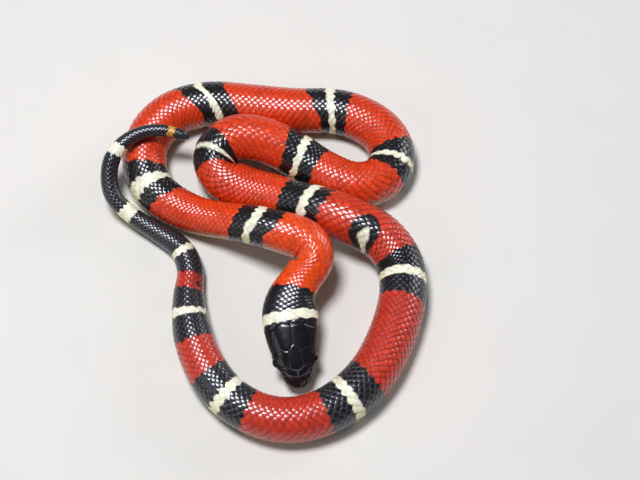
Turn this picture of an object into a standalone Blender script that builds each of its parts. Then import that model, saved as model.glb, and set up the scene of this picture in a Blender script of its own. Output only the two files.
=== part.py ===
"""A young milk snake, life size, lying in a loose double loop with its head in the middle.

The animal is one tube on a hand-chosen route, parted into the head, the neck and lengths of
body and tail. Distances along the route are counted so that the tip of the snout lies at
SNOUT_TIP. All sizes are written in millimetres and turned into metres where a mesh is made.
"""

import math

import bmesh
import bpy
import numpy as np

MM = 0.001

# The route of the belly line: x, y and the height of the belly above the floor.
ROUTE = (
    # head, from the snout back to the jaw
    (8.24, -30.5, 2.7), (7.2, -24.5, 3.1), (6.16, -16.5, 3.8),
    # neck, with its sharp turn over the body behind it
    (6.6, -11.5, 4.4), (8.9, -7.5, 5.1), (11.2, -3.85, 6.5), (9.9, -0.35, 7.6),
    (4.5, 1.8, 7.7), (-1.5, 4.35, 5.8), (-8.0, 6.95, 2.7),
    # down to the floor and round the left side
    (-14.0, 9.3, 0.3), (-19.5, 12.0, 0.0), (-24.0, 15.5, 0.0), (-26.5, 20.0, 0.0),
    (-27.0, 25.5, 0.0), (-25.0, 31.5, 0.0), (-20.0, 36.0, 0.0),
    # along the back
    (-12.5, 38.0, 0.0), (-3.0, 37.2, 0.0), (7.0, 36.2, 0.0), (16.0, 36.0, 0.0),
    # round the right side
    (22.5, 33.7, 0.0), (27.5, 29.0, 0.0), (28.7, 23.0, 0.0), (25.5, 18.0, 0.0), (20.0, 17.0, 0.0),
    # up to the hump and down again
    (13.5, 19.8, 0.0), (6.5, 24.0, 1.5), (-1.0, 26.7, 3.9), (-7.0, 26.7, 4.4),
    (-10.6, 23.0, 2.7), (-9.6, 19.0, 1.5), (-5.0, 16.0, 0.3),
    # up again, leaning on the length behind
    (1.0, 14.0, 0.5), (8.0, 10.9, 2.2), (14.0, 8.4, 4.0), (20.0, 5.8, 4.0), (26.0, 2.8, 1.6),
    # the wide front loop
    (29.6, -1.8, 0.0), (30.5, -8.0, 0.0), (29.5, -14.0, 0.0), (27.5, -20.0, 0.0),
    (24.0, -27.0, 0.0), (19.0, -32.7, 0.0), (12.5, -36.7, 0.0), (5.0, -38.0, 0.0),
    (-2.0, -36.0, 0.0), (-8.0, -31.5, 0.0), (-12.5, -24.5, 0.0), (-15.0, -17.0, 0.0),
    # tail, which climbs over the left side
    (-15.9, -9.0, 0.0), (-15.7, -3.0, 0.0), (-18.1, 2.4, 0.0), (-23.3, 6.1, 0.6),
    (-29.3, 9.9, 2.0), (-33.4, 13.6, 4.2), (-34.0, 19.0, 6.8), (-32.1, 22.9, 9.2),
    (-28.0, 26.0, 10.3), (-22.5, 27.2, 10.3), (-16.8, 26.4, 8.6),
)

# Distance along the route, half width, height above the axis, depth below it.
SHAPE = (
    (1.0, 1.0, 0.6, 0.55), (1.2, 1.65, 1.05, 0.95), (1.6, 2.2, 1.45, 1.3), (2.2, 2.65, 1.85, 1.65),
    (3.1, 3.05, 2.2, 1.95), (4.4, 3.45, 2.55, 2.2), (6.4, 4.05, 2.85, 2.45), (8.5, 4.7, 3.05, 2.75),
    (11.0, 5.32, 3.25, 3.05), (13.6, 5.78, 3.45, 3.35), (16.0, 6.05, 3.6, 3.5),
    (18.0, 5.85, 3.75, 3.6), (20.0, 5.35, 3.85, 3.6), (22.5, 4.7, 3.95, 3.55), (25.0, 4.35, 4.05, 3.55),
    (29.0, 4.45, 4.4, 3.75),
    (37.0, 4.65, 4.6, 3.9), (47.0, 4.2, 4.2, 3.6), (52.0, 4.05, 4.05, 3.45), (58.0, 4.15, 4.15, 3.55),
    (67.0, 4.5, 4.5, 3.85), (79.0, 5.0, 5.0, 4.3), (94.0, 5.2, 5.2, 4.45), (255.0, 5.15, 5.15, 4.4),
    (281.0, 5.15, 5.15, 4.4), (304.0, 4.7, 4.7, 4.05), (319.0, 4.5, 4.5, 3.85),
    (328.0, 4.2, 4.2, 3.6), (334.0, 3.7, 3.7, 3.15), (341.0, 3.05, 3.05, 2.6),
    (348.0, 2.75, 2.75, 2.35), (356.0, 2.25, 2.25, 1.9), (362.0, 2.0, 2.0, 1.7),
    (377.5, 1.95, 1.95, 1.65), (384.3, 1.6, 1.6, 1.35), (391.3, 1.35, 1.35, 1.15),
    (395.7, 1.1, 1.1, 0.95), (398.5, 0.7, 0.7, 0.6),
)

# Each node of flesh and the distance along the route at which it ends.
HEAD_END = 18.5
LENGTHS = (
    ("neck", 45.0), ("body_1", 65.0), ("body_2", 87.0), ("body_3", 110.0), ("body_4", 131.0),
    ("body_5", 147.0), ("body_6", 163.5), ("body_7", 179.0), ("body_8", 205.0), ("body_9", 229.0),
    ("body_10", 250.0), ("body_11", 270.0), ("body_12", 291.0), ("body_13", 309.0),
    ("body_14", 333.0), ("tail_1", 353.0), ("tail_2", 372.0), ("tail_3", 382.5),
)
GAP = 0.3
MOST_CLOSING = 0.6

# Where the route starts, and how finely it and the tube are made.
SNOUT_TIP = 1.0
STEP = 0.25
SMOOTHING = 60
LIFT_SMOOTHING = 300
LEAST_LIFT = 0.02
SIZE_SMOOTHING = 6
SIDES = 24
RING_SPACING = 2.4
RING_TURN = math.radians(9)
HEAD_SIDES = 40
HEAD_RING_COUNT = 24
HEAD_RING_CROWDING = 1.35
TIP_ROUNDING = 1.0
INNER_SHARE = 0.9
HEAD_SQUARENESS = 2.5
BODY_SECTION_STARTS = 13.0
BODY_SECTION_WHOLE = 25.0

# The face.
EYE_RADIUS = 1.15
EYE_BACK = 6.4
EYE_OUT = 3.75
EYE_UP = 0.55
EYE_GAP = 0.25
BROW_BULGE = 0.3
BROW_SPREAD = 1.6
BROW_SHARE = 0.6
BROW_THICKNESS = 0.7
NOSTRIL_RADIUS = 0.28
NOSTRIL_BACK = 2.3
NOSTRIL_UP = 0.35
MOUTH_BACK = 13.4
MOUTH_DOWN_FRONT = 0.5
MOUTH_DOWN_LOWEST = 1.15
MOUTH_CURVE = 0.78
MOUTH_WIDTH = 0.2
MOUTH_DEPTH = 0.38
LIP_BULGE = 0.16
LIP_SPREAD = 0.42

RED = (0.60, 0.045, 0.014, 1.0)
BLACK = (0.012, 0.011, 0.014, 1.0)
EYE_BLACK = (0.004, 0.003, 0.003, 1.0)
SKIN_ROUGHNESS = 0.32
EYE_ROUGHNESS = 0.05


def clear_scene():
    for obj in list(bpy.data.objects):
        bpy.data.objects.remove(obj, do_unlink=True)


def rounded(points):
    """A centripetal curve through the points, with a sample about every STEP."""
    points = np.array(points, float)
    points = np.vstack([2 * points[0] - points[1], points, 2 * points[-1] - points[-2]])
    knots = np.concatenate([[0], np.cumsum(np.linalg.norm(np.diff(points, axis=0), axis=1) ** 0.5)])

    def blend(a, b, knot_a, knot_b, u):
        return (a * (knot_b - u) + b * (u - knot_a)) / (knot_b - knot_a)

    curve = []
    for i in range(1, len(points) - 2):
        k0, k1, k2, k3 = knots[i - 1 : i + 3]
        count = max(2, int(np.linalg.norm(points[i + 1] - points[i]) / STEP))
        for u in np.linspace(k1, k2, count, endpoint=False):
            first = blend(points[i - 1], points[i], k0, k1, u)
            second = blend(points[i], points[i + 1], k1, k2, u)
            third = blend(points[i + 1], points[i + 2], k2, k3, u)
            curve.append(blend(blend(first, second, k0, k2, u), blend(second, third, k1, k3, u), k1, k2, u))
    curve.append(points[-2])
    return np.array(curve)


def relaxed(values, passes):
    """The values with each one moved towards its neighbours, and the ends kept."""
    values = values.copy()
    for _ in range(passes):
        values[1:-1] = values[1:-1] * 0.5 + (values[:-2] + values[2:]) * 0.25
    return values


class Route:
    """The belly line at even steps, with the direction and the bend at each."""

    def __init__(self):
        line = relaxed(self.evenly_spaced(rounded(ROUTE)), SMOOTHING)
        line[:, 2] = relaxed(np.maximum(line[:, 2], 0), LIFT_SMOOTHING)
        line[line[:, 2] < LEAST_LIFT, 2] = 0
        self.line = self.evenly_spaced(line)
        steps = np.linalg.norm(np.diff(self.line, axis=0), axis=1)
        self.along = SNOUT_TIP + np.concatenate([[0], np.cumsum(steps)])
        forward = np.gradient(self.line, self.along, axis=0)
        self.forward = forward / np.linalg.norm(forward, axis=1)[:, None]
        heading = np.unwrap(np.arctan2(self.forward[:, 1], self.forward[:, 0]))
        self.bend = relaxed(np.gradient(heading, self.along), SMOOTHING // 4)
        self.length = self.along[-1]

    @staticmethod
    def evenly_spaced(line):
        along = np.concatenate([[0], np.cumsum(np.linalg.norm(np.diff(line, axis=0), axis=1))])
        places = np.linspace(0, along[-1], int(round(along[-1] / STEP)) + 1)
        return np.column_stack([np.interp(places, along, line[:, k]) for k in range(3)])

    def at(self, distance):
        """The point on the belly line, the axes to the left and up, and the bend to the left."""
        point = np.array([np.interp(distance, self.along, self.line[:, k]) for k in range(3)])
        forward = np.array([np.interp(distance, self.along, self.forward[:, k]) for k in range(3)])
        left = np.cross((0, 0, 1), forward)
        left /= np.linalg.norm(left)
        up = np.cross(forward, left)
        up /= np.linalg.norm(up)
        return point, left, up, np.interp(distance, self.along, self.bend)

    def turned(self, start, end):
        """How far the route turns between two distances, in radians."""
        inside = (self.along >= start) & (self.along <= end)
        return float(np.sum(np.abs(self.bend[inside])) * STEP)


def rounded_sizes():
    """The rows of SHAPE at even steps, with their corners rounded off."""
    shape = np.array(SHAPE)
    places = np.arange(SNOUT_TIP, shape[-1, 0] + STEP, STEP)
    sizes = [np.interp(places, shape[:, 0], shape[:, k]) for k in (1, 2, 3)]
    return places, relaxed(np.column_stack(sizes), SIZE_SMOOTHING)


SIZE_PLACES, SIZES = rounded_sizes()


def size_at(distance):
    """Half width, height above the axis and depth below it."""
    return [float(np.interp(distance, SIZE_PLACES, SIZES[:, k])) for k in range(3)]


def mouth_drop(distance):
    """How far below the axis the mouth closes: a long gentle curve, lowest behind the eye."""
    share = math.sin(math.pi * distance / MOUTH_BACK * MOUTH_CURVE)
    return MOUTH_DOWN_FRONT + (MOUTH_DOWN_LOWEST - MOUTH_DOWN_FRONT) * share


def half_gap(route, distance):
    """Half of the gap between two nodes on the axis, so that it stays open inside a bend."""
    closing = size_at(distance)[0] * abs(route.at(distance)[3])
    return GAP / 2 / (1 - min(closing, MOST_CLOSING))


def fades(distance, start, end):
    """One before the start, nought past the end, and a straight fall between."""
    return min(1.0, max(0.0, (end - distance) / (end - start)))


def ring(route, distance, sides):
    """The points of one cross-section, from the left side over the back to the belly."""
    half, above, below = size_at(distance)
    point, left, up, bend = route.at(distance)
    head_like = fades(distance, BODY_SECTION_STARTS, BODY_SECTION_WHOLE)
    squareness = 2 + (HEAD_SQUARENESS - 2) * head_like
    lips = LIP_BULGE * fades(distance, MOUTH_BACK - 3, MOUTH_BACK + 1) * min(1, distance / 2)
    brow = BROW_BULGE * math.exp(-(((distance - EYE_BACK + 0.6) / BROW_SPREAD) ** 2))
    points = []
    for i in range(sides):
        angle = 2 * math.pi * i / sides
        out = math.copysign(abs(math.cos(angle)) ** (2 / squareness), math.cos(angle))
        rise = math.copysign(abs(math.sin(angle)) ** (2 / squareness), math.sin(angle))
        inner_limit = INNER_SHARE / abs(bend) if bend * out > 0 else math.inf
        sideways = min(half, inner_limit) * out
        if rise > 0:
            height = rise * above
        else:
            # A shallow chin on the head turns into a round belly, flat underneath.
            height = head_like * rise * below + (1 - head_like) * max(rise * half, -below)
        near_mouth = math.exp(-(((height + mouth_drop(distance)) / LIP_SPREAD) ** 2))
        near_brow = math.exp(-(((height - above * BROW_SHARE) / BROW_THICKNESS) ** 2))
        sideways += math.copysign(lips * near_mouth + brow * near_brow, out) * min(1, abs(out) * 2)
        points.append(point + up * (below + height) + left * sideways)
    return np.array(points)


def ring_places(route, start, end):
    """Even distances from start to end, closer together where the route turns."""
    count = max((end - start) / RING_SPACING, route.turned(start, end) / RING_TURN)
    return np.linspace(start, end, math.ceil(count) + 1)


def loft(name, rings, round_front=None, round_back=None):
    """A closed mesh through the rings, with a flat end or one point at each end."""
    mesh = bmesh.new()
    rows = [[mesh.verts.new(corner * MM) for corner in corners] for corners in rings]
    for row, following in zip(rows, rows[1:]):
        for i in range(len(row)):
            j = (i + 1) % len(row)
            mesh.faces.new((row[i], row[j], following[j], following[i]))
    for row, tip in ((rows[0], round_front), (rows[-1], round_back)):
        if tip is None:
            mesh.faces.new(row)
            continue
        end = mesh.verts.new(np.asarray(tip) * MM)
        for i in range(len(row)):
            mesh.faces.new((row[i], row[(i + 1) % len(row)], end))
    bmesh.ops.recalc_face_normals(mesh, faces=mesh.faces)
    data = bpy.data.meshes.new(name)
    mesh.to_mesh(data)
    mesh.free()
    obj = bpy.data.objects.new(name, data)
    bpy.context.scene.collection.objects.link(obj)
    return obj


def finish(obj, color, roughness):
    """Smooth shading and a material of the object's own."""
    material = bpy.data.materials.new(obj.name)
    material.use_nodes = True
    shader = material.node_tree.nodes["Principled BSDF"]
    shader.inputs["Base Color"].default_value = color
    shader.inputs["Roughness"].default_value = roughness
    material.diffuse_color = color
    obj.data.materials.clear()
    obj.data.materials.append(material)
    obj.data.shade_smooth()
    obj.data.set_sharp_from_angle(angle=math.radians(50))


def cut(obj, cutter):
    """Takes the cutter away from the object, and then removes the cutter."""
    modifier = obj.modifiers.new(cutter.name, "BOOLEAN")
    modifier.operation = "DIFFERENCE"
    modifier.solver = "EXACT"
    modifier.object = cutter
    graph = bpy.context.evaluated_depsgraph_get()
    mesh = bpy.data.meshes.new_from_object(obj.evaluated_get(graph))
    obj.modifiers.clear()
    obj.data = mesh
    bpy.data.objects.remove(cutter, do_unlink=True)


def ball(name, centre, radius, segments, rings):
    mesh = bmesh.new()
    bmesh.ops.create_uvsphere(mesh, u_segments=segments, v_segments=rings, radius=radius * MM)
    bmesh.ops.translate(mesh, verts=mesh.verts, vec=centre * MM)
    data = bpy.data.meshes.new(name)
    mesh.to_mesh(data)
    mesh.free()
    obj = bpy.data.objects.new(name, data)
    bpy.context.scene.collection.objects.link(obj)
    return obj


def on_head(route, back, out, up_from_axis):
    """A point given by its distance along the route, to the left and above the axis."""
    point, left, up, _ = route.at(back)
    below = size_at(back)[2]
    return point + up * (below + up_from_axis) + left * out


def mouth_cutter(route):
    """A thin plate round the front of the head, from one corner of the mouth to the other."""
    spread = np.linspace(-1, 1, 41)
    outline = []
    for share in spread:
        from_tip = (MOUTH_BACK - SNOUT_TIP) * share * share
        back = SNOUT_TIP + from_tip
        half = size_at(back)[0]
        if from_tip < 0.3:
            half *= abs(share) / math.sqrt(0.3 / (MOUTH_BACK - SNOUT_TIP))
        outline.append((back, math.copysign(half, share)))
    outline = np.array(outline)
    tangent = np.gradient(outline, axis=0)
    tangent /= np.linalg.norm(tangent, axis=1)[:, None]
    outward = np.column_stack([-tangent[:, 1], tangent[:, 0]])
    rings = []
    for (back, out), away, share in zip(outline, outward, spread):
        depth = MOUTH_DEPTH * min(1, 6 * (1 - abs(share)) + 0.25)
        corners = []
        for reach, height in ((0.9, 0.5), (0.9, -0.5), (-depth, -0.5), (-depth, 0.5)):
            place = np.array([back, out]) + away * reach
            level = -mouth_drop(back) + height * MOUTH_WIDTH
            point, left, up, _ = route.at(max(place[0], SNOUT_TIP))
            forward = np.cross(left, up)
            corner = point + up * (size_at(back)[2] + level) + left * place[1]
            corners.append(corner + forward * min(place[0] - SNOUT_TIP, 0))
        rings.append(corners)
    return loft("mouth", rings)


def nostril_cutter(route, side):
    """A small slanted pit on the side of the snout."""
    half = size_at(NOSTRIL_BACK)[0]
    centre = on_head(route, NOSTRIL_BACK, side * (half + 0.1), NOSTRIL_UP)
    cutter = ball("nostril", centre, NOSTRIL_RADIUS, 12, 8)
    return cutter


def make_head(route):
    """The head, with its mouth line, nostrils and the sockets of both eyes."""
    back = HEAD_END - half_gap(route, HEAD_END)
    shares = np.linspace(0, 1, HEAD_RING_COUNT + 1)[1:] ** HEAD_RING_CROWDING
    places = SNOUT_TIP + (back - SNOUT_TIP) * shares
    rings = [ring(route, place, HEAD_SIDES) for place in places]
    tip = on_head(route, SNOUT_TIP, 0, 0)
    head = loft("head", rings, round_front=tip)
    cut(head, mouth_cutter(route))
    for side in (1, -1):
        cut(head, nostril_cutter(route, side))
        centre = on_head(route, EYE_BACK, side * EYE_OUT, EYE_UP)
        cut(head, ball("socket", centre, EYE_RADIUS + EYE_GAP, 24, 16))
    finish(head, BLACK, SKIN_ROUGHNESS)
    return head


def make_eye(route, name, side):
    eye = ball(name, on_head(route, EYE_BACK, side * EYE_OUT, EYE_UP), EYE_RADIUS, 20, 12)
    finish(eye, EYE_BLACK, EYE_ROUGHNESS)
    return eye


def make_length(route, name, start, end):
    """One length of neck, body or tail, between thin cuts."""
    start += half_gap(route, start)
    end -= half_gap(route, end)
    rings = [ring(route, place, SIDES) for place in ring_places(route, start, end)]
    length = loft(name, rings)
    finish(length, RED, SKIN_ROUGHNESS)
    return length


def make_tail_tip(route, name, start):
    """The last of the tail, which ends in a rounded point."""
    start += half_gap(route, start)
    end = route.length - TIP_ROUNDING
    rings = [ring(route, place, SIDES) for place in ring_places(route, start, end)]
    point, _, up, _ = route.at(route.length)
    tip = loft(name, rings, round_back=point + up * size_at(route.length)[2])
    finish(tip, BLACK, SKIN_ROUGHNESS)
    return tip


def centre_on_floor(objects):
    """Moves every object so that the box round them all stands on the middle of the floor."""
    corners = np.array([vertex.co[:] for obj in objects for vertex in obj.data.vertices])
    low, high = corners.min(axis=0), corners.max(axis=0)
    middle = (low + high) / 2
    for obj in objects:
        for vertex in obj.data.vertices:
            vertex.co.x -= middle[0]
            vertex.co.y -= middle[1]
            vertex.co.z -= low[2]


def main():
    clear_scene()
    route = Route()
    objects = [make_head(route), make_eye(route, "eye_left", -1), make_eye(route, "eye_right", 1)]
    start = HEAD_END
    for name, end in LENGTHS:
        objects.append(make_length(route, name, start, end))
        start = end
    objects.append(make_tail_tip(route, "tail_4", start))
    centre_on_floor(objects)


main()
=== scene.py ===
"""The looks of the young milk snake: skin, scales, head plates, belly plates, eyes, light and camera.

Every place on the animal is given by its distance from the snout and by the angle round the
body: 0 on the left of someone who looks from the snout to the tail, a quarter turn on the back,
half a turn on the right. Lengths are in millimetres and angles in radians, until a mesh is made.
"""

import math

import bpy
import numpy as np
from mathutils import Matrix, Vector
from mathutils.kdtree import KDTree


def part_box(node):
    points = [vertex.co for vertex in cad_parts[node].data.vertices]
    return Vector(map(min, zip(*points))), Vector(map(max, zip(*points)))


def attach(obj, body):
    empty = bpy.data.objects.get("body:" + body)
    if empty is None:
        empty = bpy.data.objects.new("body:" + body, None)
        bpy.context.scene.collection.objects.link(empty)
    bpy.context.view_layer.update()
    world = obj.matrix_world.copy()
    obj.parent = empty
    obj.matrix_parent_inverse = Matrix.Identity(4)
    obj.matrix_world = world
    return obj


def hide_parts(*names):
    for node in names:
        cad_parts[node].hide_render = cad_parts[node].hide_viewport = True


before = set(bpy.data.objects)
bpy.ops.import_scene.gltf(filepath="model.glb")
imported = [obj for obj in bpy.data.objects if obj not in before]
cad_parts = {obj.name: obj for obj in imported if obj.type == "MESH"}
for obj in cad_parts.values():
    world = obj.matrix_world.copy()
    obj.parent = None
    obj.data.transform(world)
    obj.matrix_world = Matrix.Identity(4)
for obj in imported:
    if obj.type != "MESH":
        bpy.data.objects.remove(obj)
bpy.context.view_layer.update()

MM = 0.001
QUARTER = math.pi / 2
rng = np.random.default_rng(31)

# The same route and sizes as the solids have.
ROUTE = (
    (8.24, -30.5, 2.7), (7.2, -24.5, 3.1), (6.16, -16.5, 3.8),
    (6.6, -11.5, 4.4), (8.9, -7.5, 5.1), (11.2, -3.85, 6.5), (9.9, -0.35, 7.6),
    (4.5, 1.8, 7.7), (-1.5, 4.35, 5.8), (-8, 6.95, 2.7),
    (-14, 9.3, 0.3), (-19.5, 12, 0), (-24, 15.5, 0), (-26.5, 20, 0),
    (-27, 25.5, 0), (-25, 31.5, 0), (-20, 36, 0),
    (-12.5, 38, 0), (-3, 37.2, 0), (7, 36.2, 0), (16, 36, 0),
    (22.5, 33.7, 0), (27.5, 29, 0), (28.7, 23, 0), (25.5, 18, 0), (20, 17, 0),
    (13.5, 19.8, 0), (6.5, 24, 1.5), (-1, 26.7, 3.9), (-7, 26.7, 4.4),
    (-10.6, 23, 2.7), (-9.6, 19, 1.5), (-5, 16, 0.3),
    (1, 14, 0.5), (8, 10.9, 2.2), (14, 8.4, 4), (20, 5.8, 4), (26, 2.8, 1.6),
    (29.6, -1.8, 0), (30.5, -8, 0), (29.5, -14, 0), (27.5, -20, 0),
    (24, -27, 0), (19, -32.7, 0), (12.5, -36.7, 0), (5, -38, 0),
    (-2, -36, 0), (-8, -31.5, 0), (-12.5, -24.5, 0), (-15, -17, 0),
    (-15.9, -9, 0), (-15.7, -3, 0), (-18.1, 2.4, 0), (-23.3, 6.1, 0.6),
    (-29.3, 9.9, 2), (-33.4, 13.6, 4.2), (-34, 19, 6.8), (-32.1, 22.9, 9.2),
    (-28, 26, 10.3), (-22.5, 27.2, 10.3), (-16.8, 26.4, 8.6),
)
SHAPE = (
    (1, 1, 0.6, 0.55), (1.2, 1.65, 1.05, 0.95), (1.6, 2.2, 1.45, 1.3), (2.2, 2.65, 1.85, 1.65),
    (3.1, 3.05, 2.2, 1.95), (4.4, 3.45, 2.55, 2.2), (6.4, 4.05, 2.85, 2.45), (8.5, 4.7, 3.05, 2.75),
    (11, 5.32, 3.25, 3.05), (13.6, 5.78, 3.45, 3.35), (16, 6.05, 3.6, 3.5),
    (18, 5.85, 3.75, 3.6), (20, 5.35, 3.85, 3.6), (22.5, 4.7, 3.95, 3.55), (25, 4.35, 4.05, 3.55),
    (29, 4.45, 4.4, 3.75),
    (37, 4.65, 4.6, 3.9), (47, 4.2, 4.2, 3.6), (52, 4.05, 4.05, 3.45), (58, 4.15, 4.15, 3.55),
    (67, 4.5, 4.5, 3.85), (79, 5, 5, 4.3), (94, 5.2, 5.2, 4.45), (255, 5.15, 5.15, 4.4),
    (281, 5.15, 5.15, 4.4), (304, 4.7, 4.7, 4.05), (319, 4.5, 4.5, 3.85),
    (328, 4.2, 4.2, 3.6), (334, 3.7, 3.7, 3.15), (341, 3.05, 3.05, 2.6),
    (348, 2.75, 2.75, 2.35), (356, 2.25, 2.25, 1.9), (362, 2, 2, 1.7),
    (377.5, 1.95, 1.95, 1.65), (384.3, 1.6, 1.6, 1.35), (391.3, 1.35, 1.35, 1.15),
    (395.7, 1.1, 1.1, 0.95), (398.5, 0.7, 0.7, 0.6),
)
SNOUT_TIP = 1.0
STEP = 0.25
SMOOTHING = 60
LIFT_SMOOTHING = 300
LEAST_LIFT = 0.02
SIZE_SMOOTHING = 6
INNER_SHARE = 0.9
HEAD_SQUARENESS = 2.5
BODY_SECTION_STARTS = 13.0
BODY_SECTION_WHOLE = 25.0
EYE_RADIUS = 1.15
EYE_BACK = 6.4
EYE_OUT = 3.75
EYE_UP = 0.55
BROW_BULGE = 0.3
BROW_AHEAD = 0.6
BROW_SPREAD = 1.6
BROW_SHARE = 0.6
BROW_THICKNESS = 0.7
NOSTRIL_BACK = 2.3
NOSTRIL_UP = 0.35
MOUTH_BACK = 13.4
MOUTH_DOWN_FRONT = 0.5
MOUTH_DOWN_LOWEST = 1.15
MOUTH_CURVE = 0.78
LIP_BULGE = 0.16
LIP_SPREAD = 0.42
LIP_STARTS_OVER = 2.0
LIP_ENDS_OVER = 4.0
LIP_PAST_MOUTH = 1.0
BELLY_ROUNDING = 0.1
TIP_LENGTH = 1.8
MOST_STRETCH = 2.2
SHARE_LIMIT = 0.999
NORMAL_REACH = 0.12
NORMAL_TURN = 0.03

# How the scales lie. A row is a line of scales from head to tail. The pitch is the length from
# scale to scale at a distance, and a zone gives its start, its end and the rows on each side.
PITCHES = (
    (8, 0.85), (14, 1), (20, 1.18), (30, 1.26), (60, 1.33), (90, 1.38), (140, 1.4),
    (300, 1.47), (330, 1.35), (350, 1.2), (378.5, 1), (398.5, 0.7),
)
ROW_ZONES = (
    (0, 284.2, 10), (284.2, 329, 9), (329, 343, 8), (343, 352, 7), (352, 370, 6),
    (370, 385.4, 5), (385.4, 395.7, 4),
)
ROW_REACH = math.radians(122)
ROW_WIDENING = 0.02
FULL_COAT_PITCH = 1.5
THINNEST_COAT = 0.6
THROAT_ROWS = 10
THROAT_ENDS = 19.6
PLATES_GAP = 0.35
SKIN_DEPTH = 0.3
BARE_TIP = 2.6
END_MARGIN = 0.05

# The pieces the scales are divided into, each between two angles in degrees.
SCALE_BANDS = (
    ("scales_left_flank", -90.0, 28.0), ("scales_left_back", 28.0, 74.0), ("scales_spine", 74.0, 106.0),
    ("scales_right_back", 106.0, 152.0), ("scales_right_flank", 152.0, 270.0),
)
SCALE_AROUND = 14
SCALE_RINGS = (0.5, 0.8, 0.95)
SCALE_FRONT = 0.54
SCALE_REAR = 0.66
SCALE_HALF_WIDTH = 0.98
SCALE_POINTEDNESS = 1.42
SCALE_BASE = -0.18
SCALE_TILT = 0.17
SCALE_DOME = 0.12
SCALE_SKIRT = 0.16
SCALE_RIM_FADE = (0.68, 0.98)
# Scales lie flatter where the body climbs and stand up more where it falls.
STEEP_CLIMB = 0.35
TILT_RANGE = (0.4, 1.3)
SIZE_JITTER = 0.04
LIFT_JITTER = 0.008
EDGE_JITTER = 0.07
SHADE_JITTER = 0.07

# The plates under the body: one to each scale's length, and a row for each share of that length.
BODY_PLATES_END = 341.3
TAIL_PLATES_START = 341.8
PLATES_SHORT_OF_TIP = 2.2
PLATE_REACH = math.radians(57)
PLATE_ACROSS = 17
PLATE_ROWS = (0.0, 0.0, 0.25, 0.5, 0.75, 0.93, 1.0, 1.0)
PLATE_RISE = (-0.17, -0.13, -0.09, -0.055, -0.02, 0.0, -0.02, -0.02)
PLATE_SKIRT = 0.2
PLATE_EDGE_DROP = 0.06
PLATE_EDGE_FADE = (0.75, 1.0)
# The plates darken at their edges and rear: partly their own darker edges, partly painted shade in the gaps.
PLATE_EDGE_RIM = 0.4
PLATE_REAR_FADE = (0.8, 1.0)
PLATE_REAR_RIM = 0.8
PLATE_OVERLAP_AHEAD = 0.12
PLATE_OVERLAP_BEHIND = 0.16
PAIR_OVERLAP = 0.02
PLATE_HOLD = 0.7
PLATE_EDGE_JITTER = 0.15
PLATE_SHADE_JITTER = 0.05

# The map for the bake: strips along the body, and one small patch for each scale and plate.
BAKE_STRIPS = 8
BAKE_STRIP_LENGTH = 50.0
BAKE_PATCH = 0.004

# How far the body rolls on its own axis, so that the edge of its belly shows: distance and degrees.
ROLLS = (
    (24, 0), (32.4, 26), (56.3, 26), (66.5, 0), (150.5, 0), (160.5, 28), (176.5, 28),
    (186.5, 0),
)

# The face's plates: seams as lines of points. A point of the top or bottom is (distance from the
# snout, distance from the midline), and one of the side is (distance, height over the axis).
TOP_SEAMS = (
    ((1.6, 0), (2.45, 0)),
    ((2.45, 0), (2.52, 0.8), (2.8, 1.5), (3.05, 2)),
    ((1.6, 0), (1.62, 0.6), (1.8, 1.15)),
    ((1.75, 0.95), (2.2, 1.5), (3.05, 2), (3.9, 2.65), (4.8, 3.1)),
    ((2.45, 0), (3.65, 0)),
    ((3.65, 0), (3.8, 0.8), (4.3, 1.45), (4.65, 2.2), (4.8, 3.1)),
    ((4.3, 1.45), (6, 1.3), (7.7, 1.15)),
    ((7.7, 1.15), (8.5, 0.65), (9.1, 0)),
    ((7.7, 1.15), (7.8, 1.9), (8.2, 2.8), (8.1, 3.5)),
    ((9.1, 0), (12.85, 0)),
    ((8.1, 3.5), (9.5, 4.05), (11.2, 4.1), (12.4, 3.4), (13.25, 1.9), (12.85, 0)),
)
SIDE_SEAMS = (
    ((1.75, -0.6), (1.7, 0.1), (1.78, 0.9)),
    ((1.7, 0.1), (2.8, 0), (4.5, -0.1), (5.25, -0.35)),
    ((7.5, -0.3), (8.3, 0.1), (10, 0.3), (12, 0.2), (13.4, -0.5)),
    ((2.6, -0.8), (2.65, 0)),
    ((3.6, -0.9), (3.65, 0)),
    ((4.9, -1), (4.9, -0.2)),
    ((6.4, -1.1), (6.4, -0.6)),
    ((8.1, -1.1), (8.2, 0.1)),
    ((10, -1.1), (10.1, 0.3)),
    ((12, -1), (12, 0.2)),
    ((2.3, 0), (2.3, 0.3), (2.3, 1.3)),
    ((3.1, 0), (3.2, 0.8), (3.1, 1.6)),
    ((4.05, -0.05), (4.1, 0.8), (4, 1.75)),
    ((8.6, 0.15), (8.7, 1.2), (8.5, 2.1)),
    ((7.5, 0.9), (8.65, 0.95)),
    ((8.7, 1.2), (10.9, 1.35), (13.3, 1.1)),
    ((10.9, 0.3), (10.9, 1.35), (11.1, 2.4)),
)
BOTTOM_SEAMS = (
    ((1.75, 0), (1.7, 0.9), (1.7, 1.6)),
    ((1.75, 0), (2.2, 0.7), (3.3, 1.7), (5.5, 2.5), (8.5, 3.4), (11.5, 4.3), (13.2, 5)),
    ((1.75, 0), (8, 0)),
    ((4.7, 0), (4.9, 1.2), (5, 2.3)),
    ((8, 0), (7.6, 1.6), (7, 3)),
    ((2.6, 1.2), (2.5, 2.4)),
    ((3.9, 1.9), (3.8, 3.1)),
    ((5.4, 2.5), (5.3, 3.6)),
    ((7.1, 3), (7, 4)),
    ((9, 3.5), (9, 4.5)),
    ((11.1, 4.2), (11.1, 5.1)),
)
SEAM_WIDTH = 0.1
SEAM_DEPTH = 0.035
SEAM_SHOWS = 0.75
SEAM_STEPS = 40
HEAD_SKIN_LIFT = -0.05
PLATE_PILLOW = 0.02
PLATE_PILLOW_SPREAD = 0.3
MOUTH_GAP_HALF = 0.085
MOUTH_GAP_DEPTH = 0.34
MOUTH_GAP_FADE = 0.8
# Painted shade that darkens the mouth's groove, round to the gap at the snout's tip.
MOUTH_GAP_PAINTED_SHADE = 0.7
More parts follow.
